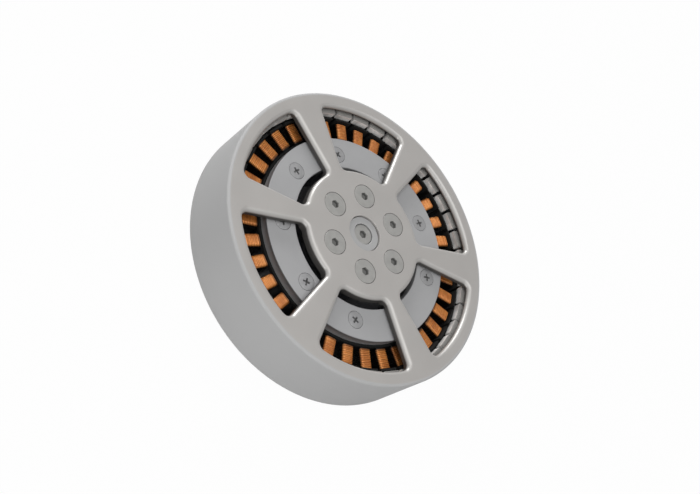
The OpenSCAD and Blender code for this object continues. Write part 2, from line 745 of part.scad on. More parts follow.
module coil_winding() {
    sections = [for (p = wind_path) wire_section(p)];
    last = len(sections) - 1;
    polyhedron(
        points = [for (s = sections) for (p = s) p],
        faces = concat(
            [[0, 1, 2], [0, 2, 3]],
            [for (i = [0 : last - 1]) for (k = [0 : 3]) for (t = side_pair(i, k, last + 1)) t],
            [[4 * last, 4 * last + 2, 4 * last + 1], [4 * last, 4 * last + 3, 4 * last + 2]]));
}

module coil_windings() {
    color([0.83, 0.52, 0.28]) around(slot_count, 0, 0) coil_winding();
}

// Least gap of the wire to itself, measured between points along the path half a turn or more apart
wind_split = 6;
wind_points = [for (i = [0 : len(wind_path) - 2]) for (j = [0 : wind_split - 1])
    wind_path[i] + (wind_path[i + 1] - wind_path[i]) * j / wind_split];
wind_gap = min([for (i = [0 : len(wind_points) - 1])
    for (j = [i + 2 * wind_split : 1 : len(wind_points) - 1])
        norm(wind_points[i] - wind_points[j])]) - wire_t;
echo("least gap of a winding to itself, mm", wind_gap);

module stator_plate() {
    color([0.63, 0.63, 0.64]) difference() {
        translate([0, 0, plate_under_z]) rotate_extrude()
            polygon([[plate_r_in, 0], [plate_r_out, 0], [plate_r_out, plate_t - plate_chamfer],
                     [plate_r_out - plate_chamfer, plate_t], [plate_r_in + plate_chamfer, plate_t],
                     [plate_r_in, plate_t - plate_chamfer]]);
        around(plate_screw_count, plate_screw_r, plate_screw_turn)
            translate([0, 0, plate_top_z])
                flat_head_hole(plate_head_d / 2 + head_gap, plate_screw_d / 2 + hole_gap,
                               plate_t + over, head_land);
    }
}

module plate_screws() {
    color([0.58, 0.58, 0.6])
        for (i = [0 : plate_screw_count - 1])
            rotate([0, 0, plate_screw_turn + i * 360 / plate_screw_count])
                translate([plate_screw_r, 0, plate_top_z]) rotate([0, 0, i * cross_turn_step]) difference() {
                    flat_head(plate_head_d / 2, plate_screw_d / 2, plate_screw_l, head_land);
                    cross_recess();
                }
}

// Rubber bush with a lip on each side of the web
module cable_grommet() {
    neck_r = grommet_hole_d / 2 - fit_gap;
    color([0.1, 0.1, 0.1]) at_grommet() difference() {
        union() {
            translate([0, 0, rear_gap - grommet_lip_t]) cylinder(h = grommet_lip_t, r = grommet_lip_d / 2);
            translate([0, 0, rear_gap - grommet_lip_t]) cylinder(h = web_t + 2 * grommet_lip_t, r = neck_r);
            translate([0, 0, web_top_z]) cylinder(h = grommet_lip_t, r = grommet_lip_d / 2);
        }
        translate([0, 0, -over]) cylinder(h = web_top_z + grommet_lip_t + 2 * over, r = grommet_bore_d / 2);
    }
}

rotor_bell();
flux_ring();
rotor_magnets();
rotor_shaft();
hub_screws();
centre_disc();
centre_screw();
shaft_spacer();
retaining_ring();
front_inner_race();
rear_inner_race();
front_balls();
front_cage();
rear_balls();
rear_cage();
stator_base();
stator_core();
front_end_frame();
rear_end_frame();
coil_cores();
coil_windings();
stator_plate();
plate_screws();
front_outer_race();
rear_outer_race();
front_shields();
rear_shields();
race_spacer();
wave_washer();
cable_grommet();
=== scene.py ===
"""Dressed model of a pancake outrunner motor: bell, magnets, coils, stator plate, screws and finishes."""

import json
import logging
import math
from dataclasses import dataclass, field
from enum import Enum
from typing import Any, Callable, Mapping, NamedTuple, Sequence

import bmesh
import bpy
from mathutils import Matrix, Vector

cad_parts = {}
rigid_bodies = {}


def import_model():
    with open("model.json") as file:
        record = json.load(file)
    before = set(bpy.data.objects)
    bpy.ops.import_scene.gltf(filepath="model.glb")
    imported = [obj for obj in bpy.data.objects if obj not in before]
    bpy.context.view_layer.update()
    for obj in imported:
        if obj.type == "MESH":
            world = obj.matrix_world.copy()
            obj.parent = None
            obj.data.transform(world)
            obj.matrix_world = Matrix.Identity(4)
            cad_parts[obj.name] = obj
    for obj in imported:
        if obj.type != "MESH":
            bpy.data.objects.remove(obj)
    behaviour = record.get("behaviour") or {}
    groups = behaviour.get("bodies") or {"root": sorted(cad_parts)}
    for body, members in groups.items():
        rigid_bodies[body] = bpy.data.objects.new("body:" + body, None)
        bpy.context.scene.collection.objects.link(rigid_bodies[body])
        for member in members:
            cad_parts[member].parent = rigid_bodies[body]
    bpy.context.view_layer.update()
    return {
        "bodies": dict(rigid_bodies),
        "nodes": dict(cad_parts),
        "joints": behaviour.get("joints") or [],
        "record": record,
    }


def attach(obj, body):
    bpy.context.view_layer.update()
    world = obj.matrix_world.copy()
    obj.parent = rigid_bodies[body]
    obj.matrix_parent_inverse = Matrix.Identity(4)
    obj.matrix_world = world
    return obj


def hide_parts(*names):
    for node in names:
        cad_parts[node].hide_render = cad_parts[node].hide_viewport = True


log = logging.getLogger("motor")

MM = 0.001
FULL_TURN = 2 * math.pi
# Millimetres within which heights, radii and places count as the same, and a soft border's width
NEAR, SLACK, JOIN, FADE = 0.01, 0.05, 0.002, 0.1
Colour = tuple[float, float, float]
Point = tuple[float, float, float]


def linear(colour: Colour) -> tuple[float, ...]:
    """Turns a colour of 0 to 255 per channel into the renderer's four linear values, the last one 1."""
    parts = [c / 255 for c in colour]
    return *(p / 12.92 if p <= 0.04045 else ((p + 0.055) / 1.055) ** 2.4 for p in parts), 1.0


def on_circle(radius: float, degrees: float, z: float = 0.0) -> Point:
    """A point on a circle round the motor's axis, in millimetres."""
    angle = math.radians(degrees)
    return radius * math.cos(angle), radius * math.sin(angle), z


def arc(centre: Sequence[float], radius: float, start: float, end: float, steps: int,
        z: float) -> list[Point]:
    """Points on an arc at height z from one angle to another, in degrees, the end point left out."""
    turns = [math.radians(start + (end - start) * i / steps) for i in range(steps)]
    return [(centre[0] + radius * math.cos(t), centre[1] + radius * math.sin(t), z) for t in turns]


def straight(start: Sequence[float], end: Sequence[float], steps: int) -> list[Point]:
    """Points on a straight line, the end point left out."""
    a, b = Vector(start), Vector(end)
    return [tuple(a.lerp(b, i / steps)) for i in range(steps)]


def sector(rings: Sequence[float], side_steps: Sequence[int], end_steps: tuple[int, int], half: float,
           turn: float, z: float) -> list[Point]:
    """Outline of a sector of a ring, from its inner arc's start.

    Args:
        rings: Radii of the inner arc, of the steps on the sides and of the outer arc.
        side_steps: Edges on each side between one radius and the next.
        end_steps: Edges of the inner and of the outer arc.
        half: Half of the sector's angle, in degrees.
        turn: Direction of its middle, in degrees.
        z: Its height.

    Returns:
        The corners in order.
    """
    legs = list(zip(rings, rings[1:], side_steps))
    low, high = turn - half, turn + half
    out = [p for a, b, n in legs for p in straight(on_circle(a, high, z), on_circle(b, high, z), n)]
    back = [p for a, b, n in reversed(legs) for p in straight(on_circle(b, low, z), on_circle(a, low, z), n)]
    return [*arc((0, 0), rings[0], low, high, end_steps[0], z), *out,
            *arc((0, 0), rings[-1], high, low, end_steps[1], z), *back]


class Kind(Enum):
    """What a selection picks, as the select mode's three switches."""

    VERTS = (True, False, False)
    EDGES = (False, True, False)
    FACES = (False, False, True)


class Spot(NamedTuple):
    """Where a vertex, edge or face lies, in millimetres."""

    centre: Vector
    radii: tuple[float, float]
    heights: tuple[float, float]
    faces: int

    def at(self, z: float) -> bool:
        """Whether all of it lies at this height."""
        return self.heights[1] - self.heights[0] < JOIN and abs(self.centre.z - z) < NEAR

    def outside(self, radius: float) -> bool:
        """Whether none of it lies nearer to the axis than this radius."""
        return self.radii[0] > radius - SLACK

    def inside(self, radius: float) -> bool:
        """Whether none of it lies further from the axis than this radius."""
        return self.radii[1] < radius + SLACK


class Bench:
    """Edit-mode work on one mesh with Blender's own operators, in millimetres.

    Each step hands back the bench, for the next one.
    """

    def __init__(self, name: str) -> None:
        """Takes the object just added, names it and opens it for editing."""
        self.obj = bpy.context.active_object
        self.obj.name = self.obj.data.name = name
        bpy.ops.object.mode_set(mode="EDIT")

    @staticmethod
    def pick(*objects: bpy.types.Object) -> None:
        """Selects these objects and no other, the first one active."""
        bpy.ops.object.select_all(action="DESELECT")
        for obj in reversed(objects):
            obj.select_set(True)
            bpy.context.view_layer.objects.active = obj

    @classmethod
    def empty(cls, name: str) -> "Bench":
        """Starts from a mesh with nothing in it.

        Args:
            name: Name of the new object.

        Returns:
            The bench with the object open on it.
        """
        cls.pick()
        bpy.ops.mesh.primitive_plane_add(size=MM)
        bench = cls(name)
        bpy.ops.mesh.delete(type="VERT")
        return bench

    def more(self, place: Point) -> "Bench":
        """Adds a single new vertex to the mesh, and selects it alone.

        Args:
            place: Where the vertex stands.

        Returns:
            The bench, for the next step.
        """
        bpy.context.tool_settings.mesh_select_mode = Kind.VERTS.value
        self.everything(False)
        bpy.ops.mesh.primitive_plane_add(size=MM)
        bpy.ops.mesh.merge(type="CENTER")
        return self.shift(place)

    def everything(self, chosen: bool = True) -> "Bench":
        """Selects all or nothing."""
        bpy.ops.mesh.select_all(action="SELECT" if chosen else "DESELECT")
        return self

    def choose(self, kind: Kind, test: Callable[[Spot], bool]) -> "Bench":
        """Selects the vertices, edges or faces whose place passes a test.

        Args:
            kind: What is picked.
            test: Says for each one's place whether it is picked.

        Returns:
            The bench, for the next step.
        """
        bpy.context.tool_settings.mesh_select_mode = kind.value
        self.everything(False)
        mesh = bmesh.from_edit_mesh(self.obj.data)
        for item in getattr(mesh, kind.name.lower()):
            corners = [v.co / MM for v in ([item] if kind is Kind.VERTS else item.verts)]
            radii = [math.hypot(c.x, c.y) for c in corners]
            heights = [c.z for c in corners]
            faces = 1 if kind is Kind.FACES else len(item.link_faces)
            item.select_set(test(Spot(sum(corners, Vector()) / len(corners), (min(radii), max(radii)),
                                      (min(heights), max(heights)), faces)))
        mesh.select_flush_mode()
        bmesh.update_edit_mesh(self.obj.data)
        return self

    def shift(self, move: Sequence[float]) -> "Bench":
        """Moves what is selected."""
        bpy.ops.transform.translate(value=[m * MM for m in move])
        return self

    def resize(self, value: Sequence[float], centre: Sequence[float] = (0, 0, 0)) -> "Bench":
        """Scales what is selected about a point."""
        bpy.ops.transform.resize(value=value, center_override=[c * MM for c in centre])
        return self

    def turn(self, degrees: float) -> "Bench":
        """Turns what is selected about the motor's axis."""
        bpy.ops.transform.rotate(value=-math.radians(degrees), orient_axis="Z", center_override=(0, 0, 0))
        return self

    def extrude(self, move: Sequence[float]) -> "Bench":
        """Extrudes what is selected and moves the new part."""
        bpy.ops.mesh.extrude_region_move(TRANSFORM_OT_translate={"value": [m * MM for m in move]})
        return self

    def down(self, depth: float, share: float = 1.0) -> "Bench":
        """Extrudes what is selected downwards and scales the new part to a share of its width."""
        return self.extrude((0, 0, -depth)).resize((share, share, 1))

    def trace(self, points: Sequence[Point]) -> "Bench":
        """Draws an open wire through points from the one selected vertex, which stands on the first."""
        for here, there in zip(points, points[1:]):
            self.extrude([b - a for a, b in zip(here, there)])
        return self

    def loop(self, points: Sequence[Point]) -> "Bench":
        """Draws a closed wire of new vertices and leaves the rest of the mesh as it is.

        Args:
            points: The corners of the wire.

        Returns:
            The bench, for the next step.
        """
        start = Vector(points[0])
        self.more(points[0]).trace([*points, points[0]])
        self.choose(Kind.VERTS, lambda s: s.faces == 0 and (s.centre - start).length < JOIN / 2)
        bpy.ops.mesh.remove_doubles(threshold=JOIN * MM)
        return self

    def merge(self, distance: float = JOIN) -> "Bench":
        """Joins vertices that lie at the same place, all over the mesh."""
        self.everything()
        bpy.ops.mesh.remove_doubles(threshold=distance * MM)
        return self

    def cell(self, rim: Sequence[Point], hole: Sequence[Point]) -> "Bench":
        """Fills the flat field between a rim and a hole of as many corners."""
        self.loop(rim).loop(hole).choose(Kind.EDGES, lambda s: s.faces == 0)
        bpy.ops.mesh.bridge_edge_loops()
        return self

    def fill(self) -> "Bench":
        """Closes the selected loop with one face."""
        bpy.ops.mesh.edge_face_add()
        return self

    def bevel(self, width: float, segments: int) -> "Bench":
        """Rounds the selected edges."""
        bpy.ops.mesh.bevel(offset=width * MM, segments=segments, clamp_overlap=True)
        return self

    def narrow(self, count: int, ring: float, turn: float, low: float, hole: float, through: float) -> None:
        """Narrows a ring of holes towards their lower ends.

        Args:
            count: How many holes there are.
            ring: Radius of the ring that they stand in.
            turn: Direction of the first hole, in degrees.
            low: Height of the lower ends.
            hole: Radius of a hole.
            through: Radius of its lower end.
        """
        for k in range(count):
            at = Vector(on_circle(ring, turn + 360 * k / count, low))
            self.choose(Kind.VERTS, lambda s: (s.centre - at).length < hole + SLACK)
            self.resize((through / hole, through / hole, 1), at)

    def repeat(self, count: int) -> "Bench":
        """Repeats the whole mesh evenly round the motor's axis."""
        self.everything()
        bpy.ops.mesh.spin(steps=count - 1, dupli=True, angle=FULL_TURN * (count - 1) / count,
                          center=(0, 0, 0), axis=(0, 0, 1))
        return self

    def lathe(self, steps: int) -> "Bench":
        """Spins the whole mesh, a profile beside the axis, into a closed turned body."""
        self.everything()
        bpy.ops.mesh.spin(steps=steps, angle=FULL_TURN, center=(0, 0, 0), axis=(0, 0, 1))
        return self.merge()

    def outward(self) -> "Bench":
        """Makes every face point outwards."""
        self.everything()
        bpy.ops.mesh.normals_make_consistent(inside=False)
        return self

    def done(self, smooth_angle: float = 32.0) -> bpy.types.Object:
        """Leaves edit mode and shades the mesh.

        Args:
            smooth_angle: Edges flatter than this, in degrees, are shaded smooth.

        Returns:
            The finished object, at the origin with its place in its mesh.
        """
        bpy.ops.object.mode_set(mode="OBJECT")
        self.pick(self.obj)
        bpy.ops.object.transform_apply(location=True, rotation=True, scale=True)
        bpy.ops.object.shade_smooth_by_angle(angle=math.radians(smooth_angle))
        weigh = self.obj.modifiers.new("even_shading", "WEIGHTED_NORMAL")
        weigh.keep_sharp = True
        bpy.ops.object.modifier_apply(modifier=weigh.name)
        return self.obj


class Field:
    """A value that varies over a surface: a node's output, with arithmetic."""

    def __init__(self, net: "Net", socket: bpy.types.NodeSocket) -> None:
        """Wraps an output socket of a material."""
        self.net = net
        self.socket = socket

    def _with(self, operation: str, first: Any, second: Any, clamp: bool = False) -> "Field":
        """Adds one Math node."""
        settings = {"operation": operation, "use_clamp": clamp}
        return self.net.node("ShaderNodeMath", settings, {0: first, 1: second})

    def __add__(self, other: Any) -> "Field":
        """Sum."""
        return self._with("ADD", self, other)

    __radd__ = __add__

    def __sub__(self, other: Any) -> "Field":
        """Difference."""
        return self._with("SUBTRACT", self, other)

    def __rsub__(self, other: Any) -> "Field":
        """Difference, the other way round."""
        return self._with("SUBTRACT", other, self)

    def __mul__(self, other: Any) -> "Field":
        """Product."""
        return self._with("MULTIPLY", self, other)

    __rmul__ = __mul__

    def __pow__(self, other: Any) -> "Field":
        """Power."""
        return self._with("POWER", self, other)

    def sine(self) -> "Field":
        """Sine."""
        return self._with("SINE", self, 0.0)

    def limited(self) -> "Field":
        """The value kept between 0 and 1."""
        return self._with("ADD", self, 0.0, clamp=True)

    def rise(self, low: float, high: float) -> "Field":
        """A soft step from 0 at low to 1 at high."""
        inputs = {"Value": self, "From Min": low, "From Max": high}
        return self.net.node("ShaderNodeMapRange", {"interpolation_type": "SMOOTHSTEP"}, inputs)

    def step(self, low: float, high: float) -> "Field":
        """The same for a length, with low and high in millimetres."""
        return self.rise(low * MM, high * MM)

    def swing(self, reach: float) -> "Field":
        """A noise about 0.5 made into one about 0 that swings by half of the reach each way."""
        return (self - 0.5) * reach


class Net:
    """The node tree of one material, or of the world."""

    def __init__(self, name: str, world: bool = False) -> None:
        """Makes an empty tree.

        Args:
            name: Name of the new material or world.
            world: Whether it is the world's tree.
        """
        self.output = "ShaderNodeOutputWorld" if world else "ShaderNodeOutputMaterial"
        self.owner = (bpy.data.worlds if world else bpy.data.materials).new(name)
        self.owner.use_nodes = True
        self.tree = self.owner.node_tree
        self.tree.nodes.clear()
        self.place = self.node("ShaderNodeTexCoord", {}, {}, "Object")

    def node(self, kind: str, settings: Mapping[str, Any], inputs: Mapping[int | str, Any],
             output: int | str = 0) -> Field:
        """Adds any node.

        Args:
            kind: The node's type.
            settings: Its own settings, set before its sockets.
            inputs: A value or a link for each named or numbered socket.
            output: Which output is handed back.

        Returns:
            The chosen output.
        """
        made = self.tree.nodes.new(kind)
        for key, value in settings.items():
            setattr(made, key, value)
        for key, value in inputs.items():
            if isinstance(value, Field):
                self.tree.links.new(value.socket, made.inputs[key])
            else:
                made.inputs[key].default_value = value
        return Field(self, made.outputs[output])

    def axis(self, letter: str) -> Field:
        """One coordinate in the motor's own frame, in metres."""
        return self.node("ShaderNodeSeparateXYZ", {}, {0: self.place}, letter)

    def radius(self) -> Field:
        """Distance from the motor's axis, in metres."""
        x, y = self.axis("X"), self.axis("Y")
        return (x * x + y * y) ** 0.5

    def noise(self, size: float, detail: float) -> Field:
        """Cloudy noise about 0.5, in clouds of size millimetres with levels of finer noise on them."""
        inputs = {"Vector": self.place, "Scale": 1 / (size * MM), "Detail": detail}
        return self.node("ShaderNodeTexNoise", {}, inputs, "Fac")

    def grooves(self, along: Field, pitch: float) -> Field:
        """Uneven parallel marks across a coordinate, pitch millimetres apart."""
        inputs = {"W": along, "Scale": 1 / (pitch * MM)}
        return self.node("ShaderNodeTexNoise", {"noise_dimensions": "1D"}, inputs, "Fac")

    def blend(self, share: Field, first: Any, second: Any) -> Field:
        """Mixes two colours."""
        values = [linear(c) if isinstance(c, tuple) else c for c in (first, second)]
        return self.node("ShaderNodeMix", {"data_type": "RGBA"}, {0: share, 6: values[0], 7: values[1]}, 2)

    def mottle(self, dark: Colour, clean: Colour, coarse: Field, fine: Field, fine_share: float) -> Field:
        """A colour that two noises darken in places, the fine one with its share of the whole."""
        share = (coarse * (1 - fine_share) + fine * fine_share).rise(0.3, 0.7)
        return self.blend(share, dark, clean)

    def surface(self, colour: Field, roughness: Any, metallic: Any, height: Field, depth: float,
                coat: float = 0.0, specular: float = 0.5) -> bpy.types.Material:
        """Ends the tree in a Principled shader.

        Args:
            colour: Base colour.
            roughness: Roughness.
            metallic: How much of it is bare metal.
            height: Relief between 0 and 1.
            depth: What a relief of 1 stands for, in millimetres.
            coat: Weight of a clear coat.
            specular: Level of the plain reflection.

        Returns:
            The finished material.
        """
        inputs = {"Base Color": colour, "Roughness": roughness, "Metallic": metallic, "Coat Weight": coat,
                  "Coat Roughness": 0.25, "Specular IOR Level": specular}
        inputs["Normal"] = self.node("ShaderNodeBump", {}, {"Height": height, "Distance": depth * MM})
        self.end(self.node("ShaderNodeBsdfPrincipled", {}, inputs))
        return self.owner

    def end(self, shader: Field) -> None:
        """Links a shader to the tree's output."""
        made = self.tree.nodes.new(self.output)
        self.tree.links.new(shader.socket, made.inputs["Surface"])

    def end_seen(self, rays: Sequence[str], share: float, plain: Field, seen: Field) -> None:
        """Ends the tree in a shader for some kinds of rays and another for the rest.

        Args:
            rays: The kinds of rays that meet the seen shader.
            share: How much of it they meet.
            plain: The shader that the rest meets.
            seen: The seen shader.
        """
        kinds = [self.node("ShaderNodeLightPath", {}, {}, f"Is {ray} Ray") for ray in rays]
        factor = sum(kinds[1:], kinds[0]).limited() * share
        self.end(self.node("ShaderNodeMixShader", {}, {0: factor, 1: plain, 2: seen}))


@dataclass(frozen=True)
class Finish:
    """What every finish has: the name of its slot in the record, and its colour."""

    name: str
    colour: Colour

    def tinted(self, share: float) -> Colour:
        """The colour made darker or lighter."""
        return tuple(c * share for c in self.colour)


@dataclass(frozen=True)
class BlastedMetal(Finish):
    """Aluminium with a fine blasted skin; outside the radius of its outer wall, painted shade darkens the
    wall towards its top edge.
    """

    metallic: float = 0.35
    roughness: float = 0.5
    grain: float = 0.16
    relief: float = 0.006
    cloud: float = 7.0
    tint: float = 0.98
    wall: float = 1000.0
    # Painted shade on the outer wall: its colour at the foot and, darker, under the top edge.
    wall_foot: Colour = (168, 169, 171)
    wall_head: Colour = (104, 105, 107)
    wall_low: float = 17.6
    wall_high: float = 20.4

    def material(self) -> bpy.types.Material:
        """Builds the finish.

        Returns:
            The material.
        """
        net = Net(self.name)
        cloud, grain = net.noise(self.cloud, 3.0), net.noise(self.grain, 1.0)
        skin = net.mottle(self.tinted(self.tint), self.colour, cloud, grain, 0.3)
        # Painted shade on the outer wall, darker towards its top edge.
        outside = net.radius().step(self.wall - FADE, self.wall)
        wall_shade_climb = net.axis("Z").step(self.wall_low, self.wall_high)
        colour = net.blend(outside, skin, net.blend(wall_shade_climb, self.wall_foot, self.wall_head))
        rough = self.roughness + cloud.swing(0.12) + grain.swing(0.1)
        return net.surface(colour, rough, self.metallic, grain, self.relief)


@dataclass(frozen=True)
class BellMetal(Finish):
    """The bell's blasted skin, with a painted highlight on the windows' rounded edges, painted shade on the
    cut walls under them and a greyer tone on the outer side wall for painted cooler side light.
    """

    # Painted highlight on the windows' rounded edges and painted shade on the cut walls under them.
    bright: Colour = (180, 178, 175)
    dull: Colour = (80, 78, 76)
    # Greyer tone of the outer side wall: painted cooler side light.
    rough_side: Colour = (168, 168, 168)
    metallic: float = 0.3
    roughness: float = 0.42
    grain: float = 0.16
    relief: float = 0.006
    cloud: float = 9.0
    tint: float = 0.98
    edge_low: float = 22.65
    edge_fade: float = 0.35
    rim_drop: float = 0.35
    edge_high: float = 23.74
    flat_fade: float = 0.06
    hub: float = 21.5
    hub_fade: float = 0.5
    rim: float = 44.95
    side: float = 48.9
    side_fade: float = 0.3
    side_matt: float = 0.35

    def material(self) -> bpy.types.Material:
        """Builds the finish.

        Returns:
            The material.
        """
        net = Net(self.name)
        cloud, grain = net.noise(self.cloud, 2.0), net.noise(self.grain, 1.0)
        skin = net.mottle(self.tinted(self.tint), self.colour, cloud, grain, 0.4)
        height, radius = net.axis("Z"), net.radius()
        outside = radius.step(self.rim - FADE, self.rim)
        # At the outer rim the painted highlight reaches further down the window's wall.
        low = (outside * -self.rim_drop + self.edge_low) * MM
        above = (height - low).step(-self.edge_fade, self.edge_fade)
        flat = height.step(self.edge_high - self.flat_fade, self.edge_high)
        open_part = radius.step(self.hub - self.hub_fade, self.hub)
        side = radius.step(self.side, self.side + self.side_fade)
        # Painted highlight on the windows' rounded edges, and painted shade on the cut walls below them.
        edge = above * (1 - flat) * open_part * (1 - side)
        wall = (1 - above) * (1 - side)
        # The outer side wall takes the greyer painted side-light tone.
        top = net.blend(edge, net.blend(side, skin, self.rough_side), self.bright)
        colour = net.blend(wall, top, self.dull)
        rough = self.roughness + cloud.swing(0.08) + grain.swing(0.1) - edge * 0.02 + side * self.side_matt
        return net.surface(colour, rough, (1 - side * 0.7) * self.metallic, grain, self.relief)


@dataclass(frozen=True)
class ScrewMetal(Finish):
    """Stainless screws: satin heads, with painted shade down in the recess. The one in the middle lies
    lower.
    """

    middle_top: float = 22.7
    ring_top: float = 23.8
    middle: float = 3.5
    # Painted shade colour down in the tool recess.
    sunk: Colour = (62, 62, 60)
    sunk_from: float = 0.12
    sunk_to: float = 0.5
    tint: float = 0.93
    metallic: float = 0.35
    roughness: float = 0.42

    def material(self) -> bpy.types.Material:
        """Builds the finish.

        Returns:
            The material.
        """
        net = Net(self.name)
        cloud, fine = net.noise(2.2, 2.0), net.noise(0.2, 1.0)
        head = net.mottle(self.tinted(self.tint), self.colour, cloud, fine, 0.4)
        away = net.radius().step(self.middle - FADE, self.middle + FADE)
        top = away * ((self.ring_top - self.middle_top) * MM) + self.middle_top * MM
        # Painted shade, deepening down into the recess.
        recess_shade = (top - net.axis("Z")).step(self.sunk_from, self.sunk_to)
        colour = net.blend(recess_shade, head, self.sunk)
        rough = self.roughness + fine.swing(0.15) + recess_shade * 0.3
        return net.surface(colour, rough, (1 - recess_shade) * self.metallic, fine, 0.004)


@dataclass(frozen=True)
class TurnedMetal(Finish):
    """Metal with the fine rings that a lathe leaves round the motor's axis."""

    metallic: float = 0.8
    roughness: float = 0.35
    pitch: float = 0.18
    relief: float = 0.004
    tint: float = 0.86

    def material(self) -> bpy.types.Material:
        """Builds the finish.

        Returns:
            The material.
        """
        net = Net(self.name)
        rings, cloud = net.grooves(net.radius() + net.axis("Z"), self.pitch), net.noise(5.0, 3.0)
        colour = net.mottle(self.tinted(self.tint), self.colour, rings, cloud, 0.5)
        rough = self.roughness + rings.swing(0.2) + cloud.swing(0.15)
        return net.surface(colour, rough, self.metallic, rings, self.relief)


@dataclass(frozen=True)
class PlatedBlock(Finish):
    """Nickel plated magnet blocks, with painted shade on their front ends that lightens towards the rim, and
    painted shade further down their faces.
    """

    # Painted light and shade on the front ends, darker near the axis and lighter towards the rim; painted
    # shade below on the faces.
    end: Colour = (134, 132, 129)
    end_far: Colour = (165, 162, 158)
    glue: Colour = (20, 19, 18)
    bare_from: float = 18.0
    bare_to: float = 18.6
    end_from: float = 20.5
    end_to: float = 20.7
    near: float = 44.7
    far: float = 45.9
    tint: float = 0.84
    roughness: float = 0.62

    def material(self) -> bpy.types.Material:
        """Builds the finish.

        Returns:
            The material.
        """
        net = Net(self.name)
        smudge, peel = net.noise(3.2, 4.0), net.noise(0.35, 2.0)
        plated = net.blend(smudge.rise(0.35, 0.65), self.tinted(self.tint), self.colour)
        # Painted shade on the faces below their lit tops, and painted light and shade across the front ends.
        top = net.axis("Z").step(self.end_from, self.end_to)
        bare = net.axis("Z").step(self.bare_from, self.bare_to)
        end = net.blend(net.radius().step(self.near, self.far), self.end, self.end_far)
        colour = net.blend(bare, self.glue, net.blend(top, plated, end))
        return net.surface(colour, self.roughness + smudge.swing(0.3), 0.0, peel, 0.008, specular=0.25)


@dataclass(frozen=True)
class Enamel(Finish):
    """Enamelled copper, with painted shade at the coils' inner ends and painted shade on the coils' sides
    down in the slots.
    """

    shade: Colour
    metallic: float = 0.45
    roughness: float = 0.36
    coat: float = 0.3
    # Painted shade on the coils' sides down in the slots.
    resin: Colour = (13, 10, 8)
    resin_top: float = 17.15
    bare_from: float = 17.75
    # Painted shade at the coils' inner ends, next to the plate.
    varnish: float = 0.5
    varnish_from: float = 36.3
    varnish_to: float = 37.4

    def material(self) -> bpy.types.Material:
        """Builds the finish.

        Returns:
            The material.
        """
        net = Net(self.name)
        batch, fine = net.noise(4.5, 2.0), net.noise(0.5, 2.0)
        clean = net.blend((batch * 0.65 + fine * 0.35).rise(0.36, 0.62), self.shade, self.colour)
        # Painted shade at the coils' inner ends, where the plate's wall shades them.
        end = net.radius().step(self.varnish_from, self.varnish_to)
        copper = net.blend(end, tuple(c * self.varnish for c in self.shade), clean)
        # Painted shade below the coils' tops.
        bare = net.axis("Z").step(self.resin_top, self.bare_from)
        colour = net.blend(bare, self.resin, copper)
        rough = self.roughness + fine.swing(0.2)
        return net.surface(colour, rough, bare * self.metallic, fine, 0.006, coat=self.coat)


@dataclass(frozen=True)
class Moulded(Finish):
    """Moulded plastic or rubber with a fine texture and a little dust."""

    roughness: float = 0.55
    grain: float = 0.25
    relief: float = 0.006
    dust: Colour = (70, 70, 70)

    def material(self) -> bpy.types.Material:
        """Builds the finish.

        Returns:
            The material.
        """
        net = Net(self.name)
        grain = net.noise(self.grain, 2.0)
        dust = net.noise(2.4, 4.0).rise(0.5, 0.8)
        colour = net.blend(dust * 0.25, self.colour, self.dust)
        return net.surface(colour, self.roughness + grain.swing(0.2) + dust * 0.08, 0.0, grain, self.relief)


@dataclass(frozen=True)
class VarnishedStack(Finish):
    """A stack of thin sheets under dark epoxy: the sheets' edges show as fine lines along the axis."""

    sheet: float = 0.35
    bare: float = 1.7
    roughness: float = 0.42
    metallic: float = 0.2
    relief: float = 0.03
    coat: float = 0.3

    def material(self) -> bpy.types.Material:
        """Builds the finish.

        Returns:
            The material.
        """
        net = Net(self.name)
        sheets = (net.axis("Z") * (FULL_TURN / (self.sheet * MM))).sine() * 0.5 + 0.5
        blotch = net.noise(1.6, 3.0)
        edges = (sheets * 0.6 + blotch * 0.4).rise(0.4, 0.8)
        colour = net.blend(edges, self.colour, self.tinted(self.bare))
        return net.surface(colour, self.roughness + blotch.swing(0.2), self.metallic,
                           sheets * 0.7 + blotch * 0.3, self.relief, coat=self.coat)


